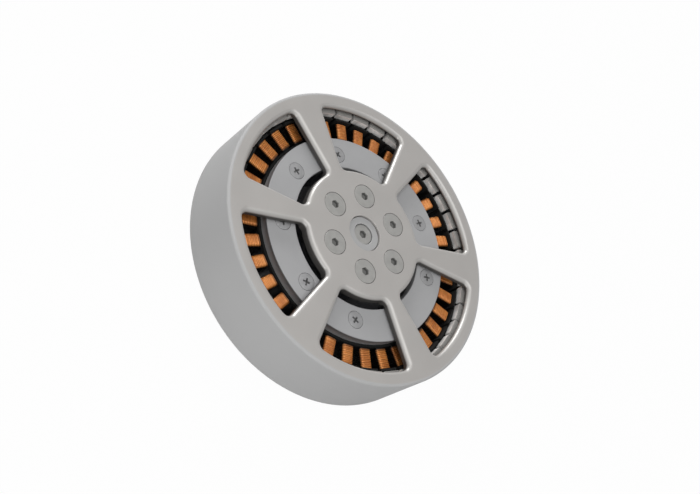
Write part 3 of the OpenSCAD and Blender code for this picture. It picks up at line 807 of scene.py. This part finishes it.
@dataclass
class Finishes:
    """Every finish of the motor by its slot name in the record, made once each."""

    made: dict[str, bpy.types.Material] = field(default_factory=dict)

    def make(self) -> None:
        """Builds all materials."""
        self.made = {finish.name: finish.material() for finish in (
            BellMetal("bell_aluminium", (173, 170, 167)),
            # The plate's outer wall, outside 34.9 mm, carries painted shade.
            BlastedMetal("plate_aluminium", (157, 157, 158), 0.12, 0.55, wall=34.9),
            BlastedMetal("disc_aluminium", (161, 161, 161), 0.2, 0.6, relief=0.004),
            TurnedMetal("base_aluminium", (120, 120, 124), 0.5, 0.42, pitch=0.3),
            TurnedMetal("ring_steel", (96, 96, 100)),
            TurnedMetal("shaft_steel", (104, 104, 108), 0.8, 0.34),
            # sunk is the painted shade colour in the screws' recesses.
            ScrewMetal("screw_steel", (164, 163, 160), sunk=(104, 104, 102)),
            ScrewMetal("plate_screw_steel", (160, 160, 161), 20.6, 20.6, sunk=(125, 125, 125)),
            TurnedMetal("spring_steel", (84, 84, 90), 0.8, 0.3),
            TurnedMetal("bearing_steel", (188, 188, 192), 0.95, 0.18, relief=0.002),
            TurnedMetal("shield_steel", (140, 140, 145), 0.85, 0.32),
            TurnedMetal("cage_brass", (196, 160, 92), 0.85, 0.3),
            PlatedBlock("magnet_nickel", (250, 248, 245)),
            Enamel("copper_wire", (222, 146, 76), (190, 115, 55)),
            Enamel("copper_inner", (150, 84, 44), (104, 54, 26), roughness=0.45),
            Moulded("frame_plastic", (5, 6, 5), 0.95, dust=(9, 9, 9)),
            Moulded("grommet_rubber", (24, 24, 25), 0.7),
            VarnishedStack("core_coating", (24, 24, 26)),
        )}
        log.info("finishes: %d materials", len(self.made))

    def dress_nodes(self, frame: Mapping[str, Any]) -> None:
        """Gives every node of the frame the finish that the record names for it.
        """
        for row in frame["record"]["subparts"]:
            for held in frame["nodes"][row["node"]].material_slots:
                held.material = self.made[row["material_slot"]]
        log.info("nodes dressed: %d", len(frame["nodes"]))


@dataclass
class Piece:
    """What every built sub-assembly shares: its finishes, and how a finished mesh joins the motor."""

    finishes: Finishes

    def settle(self, piece: bpy.types.Object, body: str, slot: str, node: str) -> None:
        """Gives a finished mesh its finish, lets it ride on a body and stand for a node.

        Args:
            piece: The finished mesh.
            body: The body that carries it.
            slot: Its material slot in the record.
            node: The node that it stands for.
        """
        piece.data.materials.clear()
        piece.data.materials.append(self.finishes.made[slot])
        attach(piece, body)
        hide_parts(node)
        log.info("%s: %d faces on %s", piece.name, len(piece.data.polygons), body)


@dataclass
class Bell(Piece):
    """The bell: front face with six windows, thick hub and side wall."""

    radius: float = 50.0
    bore: float = 48.7
    rear: float = 1.0
    front: float = 23.8
    face: float = 2.0
    spoke_depth: float = 2.6
    hub_depth: float = 3.6
    screw_field: float = 19.3
    centre_bore: float = 6.05
    edge: float = 0.8
    windows: int = 6
    turn: float = 13.5
    window_in: float = 22.2
    window_out: float = 45.1
    window_half: float = 22.3
    corner: float = 2.2
    hub_end: float = 23.26
    spoke_end: float = 43.98
    spoke_lap: float = 0.2
    fillet: float = 1.5
    low_edge: float = 0.2
    bore_edge: float = 0.15
    screw_ring: float = 13.4
    screw_turn: float = 13.3
    screw_hole: float = 4.15
    screw_through: float = 2.15
    corner_steps: int = 6
    in_steps: int = 12
    side_steps: int = 8
    out_steps: int = 24
    hole_steps: int = 40

    def side_end(self, middle: float) -> float:
        """Radius at which a window's side runs into a corner whose middle has this radius."""
        return math.sqrt(middle ** 2 - self.corner ** 2)

    def window_outline(self) -> list[Point]:
        """Outline of the first window, from the middle of its first corner.

        Returns:
            The corners in order.
        """
        c, t, z = self.corner, self.turn, self.front
        near, far = self.window_in + c, self.window_out - c
        right, left = t - self.window_half, t + self.window_half
        low, high = (self.window_half - math.degrees(math.asin(c / middle)) for middle in (near, far))
        inner = [on_circle(near, t + s * low) for s in (-1, 1)]
        outer = [on_circle(far, t + s * high) for s in (-1, 1)]
        start, end = self.side_end(near), self.side_end(far)
        turn, side = self.corner_steps, self.side_steps
        outline = [
            *arc(inner[0], c, right - 90, t - low - 180, turn, z),
            *arc((0, 0), self.window_in, t - low, t + low, self.in_steps, z),
            *arc(inner[1], c, t + low + 180, left + 90, turn, z),
            *straight(on_circle(start, left, z), on_circle(end, left, z), side),
            *arc(outer[1], c, left + 90, t + high, turn, z),
            *arc((0, 0), self.window_out, t + high, t - high, self.out_steps, z),
            *arc(outer[0], c, t - high, right - 90, turn, z),
            *straight(on_circle(end, right, z), on_circle(start, right, z), side),
        ]
        return outline[turn // 2:] + outline[:turn // 2]

    def build(self) -> None:
        """Models the bell and lets it stand for its node."""
        hole_at = on_circle(self.screw_ring, self.screw_turn)
        first, last = self.screw_turn + 180, self.screw_turn - 180
        hole = arc(hole_at, self.screw_hole, first, last, self.hole_steps, self.front)
        sides = [self.side_end(r) for r in (self.window_in + self.corner, self.window_out - self.corner)]
        rings = (self.screw_field, self.hub_end, *sides, self.spoke_end, self.bore)
        hub, place = (self.centre_bore, self.screw_field), (180 / self.windows, self.turn, self.front)
        b = Bench.empty("bell_housing")
        b.cell(sector(rings, (1, 2, self.side_steps, 2, 1), (18, 30), *place), self.window_outline())
        b.cell(sector(hub, (6,), (10, 18), *place), hole).repeat(self.windows).merge()
        b.choose(Kind.EDGES, lambda s: s.faces == 1 and s.outside(self.bore))
        b.down(0, self.radius / self.bore).everything().down(self.face).outward()
        under = self.front - self.face
        spoke = self.hub_end - self.spoke_lap
        for test, depth in (
            (lambda s: s.outside(self.bore), self.front - self.rear),
            (lambda s: s.inside(self.hub_end), self.hub_depth),
            (lambda s: s.outside(spoke) and s.inside(self.spoke_end), self.spoke_depth),
        ):
            b.choose(Kind.FACES, lambda s: s.at(under) and test(s)).down(depth - self.face)
        b.narrow(self.windows, self.screw_ring, self.screw_turn, self.front - self.hub_depth,
                 self.screw_hole, self.screw_through)
        self.round_edges(b.outward())
        self.settle(b.outward().done(), "rotor", "bell_aluminium", "rotor_bell")

    def round_edges(self, b: Bench) -> None:
        """Rounds the outer edge, the windows' edges and the bores' rims.

        Args:
            b: The bench with the bell on it.
        """
        front, under = self.front, self.front - self.face
        for test, width, segments in (
            (lambda s: s.at(front) and s.outside(self.radius), self.edge, 5),
            (lambda s: s.at(front) and self.on_window(s), self.fillet, 5),
            (lambda s: s.at(under) and self.on_window(s), self.low_edge, 2),
            (lambda s: s.at(self.rear), self.low_edge, 2),
            (lambda s: s.at(front) and s.inside(self.centre_bore), self.bore_edge, 2),
        ):
            b.choose(Kind.EDGES, test).bevel(width, segments)

    def on_window(self, s: Spot) -> bool:
        """Whether an edge lies on a window's outline.

        Args:
            s: Where the edge lies.

        Returns:
            True if both its ends are on the outline.
        """
        pitch = 360 / self.windows
        angle = math.degrees(math.atan2(s.centre.y, s.centre.x)) - self.turn
        off = abs((angle + pitch / 2) % pitch - pitch / 2)
        return s.outside(self.window_in) and s.inside(self.window_out) and off < self.window_half + SLACK


@dataclass
class Magnets(Piece):
    """Forty magnet blocks on the inside of the steel ring."""

    count: int = 40
    turn: float = 8.4
    face_radius: float = 44.2
    thick: float = 2.5
    wide: float = 6.0
    low: float = 3.8
    high: float = 20.8
    edge: float = 0.28

    def build(self) -> None:
        """Models one block with rounded edges and repeats it round the ring."""
        inner, outer, half = self.face_radius, self.face_radius + self.thick, self.wide / 2
        end = [(r, y, self.high) for r, y in ((inner, -half), (outer, -half), (outer, half), (inner, half))]
        b = Bench.empty("magnet_blocks").loop(end).everything().fill().down(self.high - self.low).outward()
        b.bevel(self.edge, 3).everything().turn(self.turn).repeat(self.count)
        self.settle(b.outward().done(), "rotor", "magnet_nickel", "rotor_magnets")


@dataclass
class Coils(Piece):
    """Thirty-six coils: round wire wound in turns over darker inner layers."""

    count: int = 36
    turns: int = 11
    corner_steps: int = 3
    radius_in: float = 36.1
    radius_out: float = 42.9
    half: float = 2.18
    low: float = 5.44
    high: float = 17.96
    wire: float = 0.55
    corner: float = 0.8
    core_half: float = 1.66
    core_hole: float = 1.22
    core_low: float = 5.94
    core_high: float = 17.46
    hole_low: float = 6.38
    hole_high: float = 17.02
    inset: float = 0.1
    core_corner: float = 0.5
    hole_corner: float = 0.1

    def loop(self, half: float, low: float, high: float, corner: float) -> list[tuple[float, float]]:
        """Corners of one upright rounded loop round a tooth.

        Args:
            half: Half of its width.
            low: Its lower end.
            high: Its upper end.
            corner: Radius of its corners.

        Returns:
            How far sideways and how high each corner lies.
        """
        y, n = half - corner, self.corner_steps
        middles = [(y, low + corner), (y, high - corner), (-y, high - corner), (-y, low + corner)]
        spots = [(middles[k], math.radians(90 * (k - 1 + i / n))) for k in range(4) for i in range(n + 1)]
        return [(y + corner * math.cos(t), z + corner * math.sin(t)) for (y, z), t in spots]

    def build_wire(self) -> None:
        """Winds one coil, gives its wire its thickness and repeats it."""
        r = self.wire / 2
        loop = self.loop(self.half - r, self.low + r, self.high - r, self.corner)
        span = self.radius_out - self.radius_in - self.wire
        total = self.turns * len(loop) - 1
        path = [(self.radius_in + r + span * i / total, *loop[i % len(loop)]) for i in range(total + 1)]
        b = Bench.empty("coil_wire").more(path[0]).trace(path)
        bpy.ops.object.mode_set(mode="OBJECT")
        Bench.pick(b.obj)
        bpy.ops.object.convert(target="CURVE")
        shape = bpy.context.active_object.data
        shape.bevel_depth, shape.bevel_resolution, shape.use_fill_caps = r * MM, 1, True
        bpy.ops.object.convert(target="MESH")
        b = Bench("coil_wire").merge(JOIN / 2).repeat(self.count).outward()
        self.settle(b.done(60), "stator", "copper_wire", "coil_windings")

    def build_layers(self) -> None:
        """Models the inner layers as a rounded sleeve round each tooth."""
        start = self.radius_in + self.inset
        core = self.loop(self.core_half, self.core_low, self.core_high, self.core_corner)
        hole = self.loop(self.core_hole, self.hole_low, self.hole_high, self.hole_corner)
        b = Bench.empty("coil_layers").cell([(start, *p) for p in core], [(start, *p) for p in hole])
        b.everything().extrude((self.radius_out - self.inset - start, 0, 0))
        self.settle(b.repeat(self.count).outward().done(40), "stator", "copper_inner", "coil_cores")

    def build(self) -> None:
        """Builds the wire and the layers under it."""
        self.build_wire()
        self.build_layers()


@dataclass
class StatorPlate(Piece):
    """The light plate inside the coils, with nine countersunk holes."""

    radius_in: float = 24.4
    radius_out: float = 35.0
    top: float = 20.6
    thick: float = 3.0
    chamfer: float = 0.35
    holes: int = 9
    hole_ring: float = 29.0
    turn: float = 10.3
    hole: float = 2.9
    hole_steps: int = 48
    through: float = 1.65

    def build(self) -> None:
        """Models one field with its hole, repeats it and gives it its thickness."""
        t, z = self.turn, self.top
        rim = sector((self.radius_in, self.radius_out), (8,), (14, 18), 180 / self.holes, t, z)
        hole = arc(on_circle(self.hole_ring, t), self.hole, t + 180, t - 180, self.hole_steps, z)
        b = Bench.empty("stator_plate_ring").cell(rim, hole).repeat(self.holes).merge()
        b.down(self.thick).outward()
        b.narrow(self.holes, self.hole_ring, t, z - self.thick, self.hole, self.through)
        b.choose(Kind.EDGES, lambda s: s.at(z) and (s.outside(self.radius_out) or s.inside(self.radius_in)))
        b.bevel(self.chamfer, 3)
        self.settle(b.outward().done(), "stator", "plate_aluminium", "stator_plate")


class Recess(Enum):
    """Shape of the tool's seat in a screw head."""

    HEXAGON = "hexagon"
    CROSS = "cross"


@dataclass
class Screws(Piece):
    """A ring of screws, or one in the middle, with flat heads and a recess for the tool."""

    name: str = "screws"
    node: str = ""
    body: str = "rotor"
    slot: str = "screw_steel"
    recess: Recess = Recess.HEXAGON
    ring: float = 13.4
    turn: float = 13.3
    count: int = 6
    top: float = 23.8
    head: float = 4.0
    shank: float = 2.0
    land: float = 0.25
    sunk: bool = True
    head_height: float = 1.6
    length: float = 6.6
    size: float = 2.5
    depth: float = 1.4
    twist: float = 0.0
    edge: float = 0.12
    sides: int = 48
    arm_share: float = 0.115
    root_share: float = 1.2
    wall_share: float = 0.75
    taper_share: float = 0.86
    tip_share: float = 0.3

    def recess_outline(self) -> list[Point]:
        """Outline of the recess, on the screw's own axis.

        Returns:
            As many corners as the head has sides.
        """
        if self.recess is Recess.HEXAGON:
            corners = [on_circle(self.size / math.sqrt(3), 180 - 60 * k, self.top) for k in range(6)]
        else:
            a, w = self.size / 2, self.size * self.arm_share
            root = w * self.root_share
            quarter = [(-a, w), (-root, root), (-w, a)]
            turns = [(math.cos(t), math.sin(t)) for t in (-math.pi / 2 * k for k in range(4))]
            corners = [(x * c - y * s, x * s + y * c, self.top) for c, s in turns for x, y in quarter]
        ends = corners[1:] + corners[:1]
        return [p for a, b in zip(corners, ends) for p in straight(a, b, self.sides // len(corners))]

    def one(self, k: int) -> Bench:
        """Models one screw at its place in the ring.

        Args:
            k: Its number.

        Returns:
            The bench with the screw on it.
        """
        outline = self.recess_outline()
        reach = max(math.hypot(p[0], p[1]) for p in outline)
        rim = arc((0, 0), self.head, 180, -180, self.sides, self.top)
        b = Bench.empty(f"{self.name}_{k}").cell(rim, outline)
        b.choose(Kind.EDGES, lambda s: s.faces == 1 and s.inside(reach))
        b.down(self.depth * self.wall_share, self.taper_share)
        b.down(self.depth * (1 - self.wall_share), self.tip_share).fill()
        b.choose(Kind.EDGES, lambda s: s.faces == 1 and s.outside(self.head))
        land, cone = (self.land, self.head - self.shank) if self.sunk else (self.head_height, 0)
        b.down(land).down(cone, self.shank / self.head).down(self.length - land - cone).fill().outward()
        b.choose(Kind.EDGES, lambda s: s.at(self.top) and s.outside(self.head)).bevel(self.edge, 3)
        b.everything().turn(self.twist * k)
        return b.shift((self.ring, 0, 0)).turn(self.turn + 360 * k / self.count)

    def build(self) -> None:
        """Models the ring of screws as one piece."""
        made = [self.one(k).outward().done() for k in range(self.count)]
        Bench.pick(*made)
        if len(made) > 1:
            bpy.ops.object.join()
        made[0].name = made[0].data.name = self.name
        self.settle(made[0], self.body, self.slot, self.node)


@dataclass
class CentreDisc(Piece):
    """The recessed disc in the hub, with a seat for the centre screw."""

    radius: float = 5.9
    bore: float = 2.15
    seat_radius: float = 3.55
    low: float = 20.2
    seat: float = 21.1
    top: float = 23.1
    edge: float = 0.18
    steps: int = 72

    def build(self) -> None:
        """Turns the disc from its profile and rounds its rims."""
        ends = ((self.bore, self.low), (self.radius, self.low), (self.radius, self.top),
                (self.seat_radius, self.top), (self.seat_radius, self.seat), (self.bore, self.seat))
        profile = [(r, 0, z) for r, z in ends]
        b = Bench.empty("hub_disc").loop(profile).lathe(self.steps).outward()
        b.choose(Kind.EDGES, lambda s: s.at(self.top) and s.radii[1] - s.radii[0] < NEAR).bevel(self.edge, 3)
        self.settle(b.outward().done(), "rotor", "disc_aluminium", "centre_disc")


@dataclass(frozen=True)
class Lamp:
    """A soft lamp that looks at the motor: angles in degrees, distance in millimetres, size in metres."""

    name: str
    azimuth: float
    height: float
    distance: float
    wide: float
    tall: float
    power: float


@dataclass
class Studio:
    """White floor, soft light and the camera at the photo's angle."""

    camera_at: Point = (-197.9, -87.3, 235.7)
    right: Point = (0.767, -0.2329, 0.5979)
    forward: Point = (0.6416, 0.2784, -0.7147)
    lens: float = 49.1
    sensor: float = 36.0
    look_at: Point = (0.0, 0.0, 15.0)
    sky: float = 0.34
    lamps: tuple[Lamp, ...] = (
        Lamp("main_lamp", 200.0, 80.0, 1000.0, 1.4, 1.4, 0.68),
        Lamp("edge_lamp", 88.0, 17.0, 900.0, 0.3, 0.3, 0.5),
        Lamp("side_lamp", 218.0, 6.0, 700.0, 0.5, 0.3, 0.36),
    )
    floor_size: float = 4000.0
    floor_gap: float = 0.02
    sweep: float = 200.0
    floor_white: float = 0.975

    def build_floor(self) -> None:
        """Lays a floor that is white to the camera and in reflections, with its edge turned up."""
        Bench.pick()
        bpy.ops.mesh.primitive_circle_add(vertices=64, radius=self.floor_size / 2 * MM, fill_type="NGON")
        b = Bench("studio_floor")
        b.everything().shift((0, 0, self.sweep - self.floor_gap))
        b.down(self.sweep, 0.9)
        b.choose(Kind.FACES, lambda s: s.at(self.sweep - self.floor_gap))
        bpy.ops.mesh.delete(type="FACE")
        floor = b.done()
        net = Net("floor_paper")
        fibre = net.noise(1.5, 3.0)
        colour = net.blend(fibre, (180, 180, 180), (186, 186, 186))
        plain = net.node("ShaderNodeBsdfPrincipled", {}, {"Base Color": colour, "Roughness": 0.9})
        white = net.node("ShaderNodeEmission", {}, {"Color": (1, 1, 1, 1), "Strength": 1.0})
        net.end_seen(("Camera", "Glossy", "Transmission"), self.floor_white, plain, white)
        floor.data.materials.append(net.owner)

    def build_sky(self) -> None:
        """Lights the motor faintly from all round, and shows the camera white."""
        net = Net("studio_sky", world=True)
        lamp, white = (net.node("ShaderNodeBackground", {}, {"Color": (1, 1, 1, 1), "Strength": strength})
                       for strength in (self.sky, 1.0))
        net.end_seen(("Camera",), 1.0, lamp, white)
        bpy.context.scene.world = net.owner

    def build_lamps(self) -> None:
        """Hangs the soft lamps and points them at the motor."""
        for lamp in self.lamps:
            data = bpy.data.lights.new(lamp.name, "AREA")
            data.shape, data.size, data.size_y = "ELLIPSE", lamp.wide, lamp.tall
            low = math.radians(lamp.height)
            x, y, _ = on_circle(lamp.distance * math.cos(low), lamp.azimuth)
            place = Vector((x, y, lamp.distance * math.sin(low)))
            data.energy = lamp.power * 4 * math.pi * (lamp.distance * MM) ** 2
            obj = bpy.data.objects.new(lamp.name, data)
            bpy.context.scene.collection.objects.link(obj)
            obj.location = place * MM
            obj.rotation_mode = "QUATERNION"
            obj.rotation_quaternion = (Vector(self.look_at) - place).to_track_quat("-Z", "Y")
            log.info("lamp %s: %.1f W", lamp.name, data.energy)

    def build_camera(self) -> None:
        """Sets the camera where the photo was taken from."""
        data = bpy.data.cameras.new("camera")
        data.lens, data.sensor_width = self.lens, self.sensor
        data.clip_start, data.clip_end = 0.01, 20.0
        obj = bpy.data.objects.new("camera", data)
        bpy.context.scene.collection.objects.link(obj)
        back = -Vector(self.forward).normalized()
        right = Vector(self.right).normalized()
        up = back.cross(right).normalized()
        turned = Matrix((right, up, back)).transposed().to_4x4()
        obj.matrix_world = Matrix.Translation(Vector(self.camera_at) * MM) @ turned
        bpy.context.scene.camera = obj

    def build(self) -> None:
        """Builds the whole studio."""
        self.build_floor()
        self.build_sky()
        self.build_lamps()
        self.build_camera()
        bpy.context.scene.view_settings.view_transform = "Standard"
        log.info("studio: floor, sky, %d lamps and camera", len(self.lamps))


def main() -> None:
    """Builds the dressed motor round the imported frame."""
    logging.basicConfig(level=logging.INFO, format="%(name)s: %(message)s")
    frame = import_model()
    finishes = Finishes()
    finishes.make()
    finishes.dress_nodes(frame)
    Bell(finishes).build()
    Magnets(finishes).build()
    Coils(finishes).build()
    StatorPlate(finishes).build()
    Screws(finishes, "hub_bolts", "hub_screws").build()
    Screws(finishes, "plate_bolts", "plate_screws", "stator", "plate_screw_steel", Recess.CROSS,
           ring=29.0, turn=10.3, count=9, top=20.6, head=2.75, shank=1.5, length=8.0, size=2.6, depth=1.3,
           twist=25.0, edge=0.1).build()
    Screws(finishes, "centre_bolt", "centre_screw", ring=0.0, turn=0.0, count=1, top=22.7, head=3.4,
           sunk=False, length=8.6, edge=0.2).build()
    CentreDisc(finishes).build()
    Studio().build()


if __name__ == "__main__":
    main()
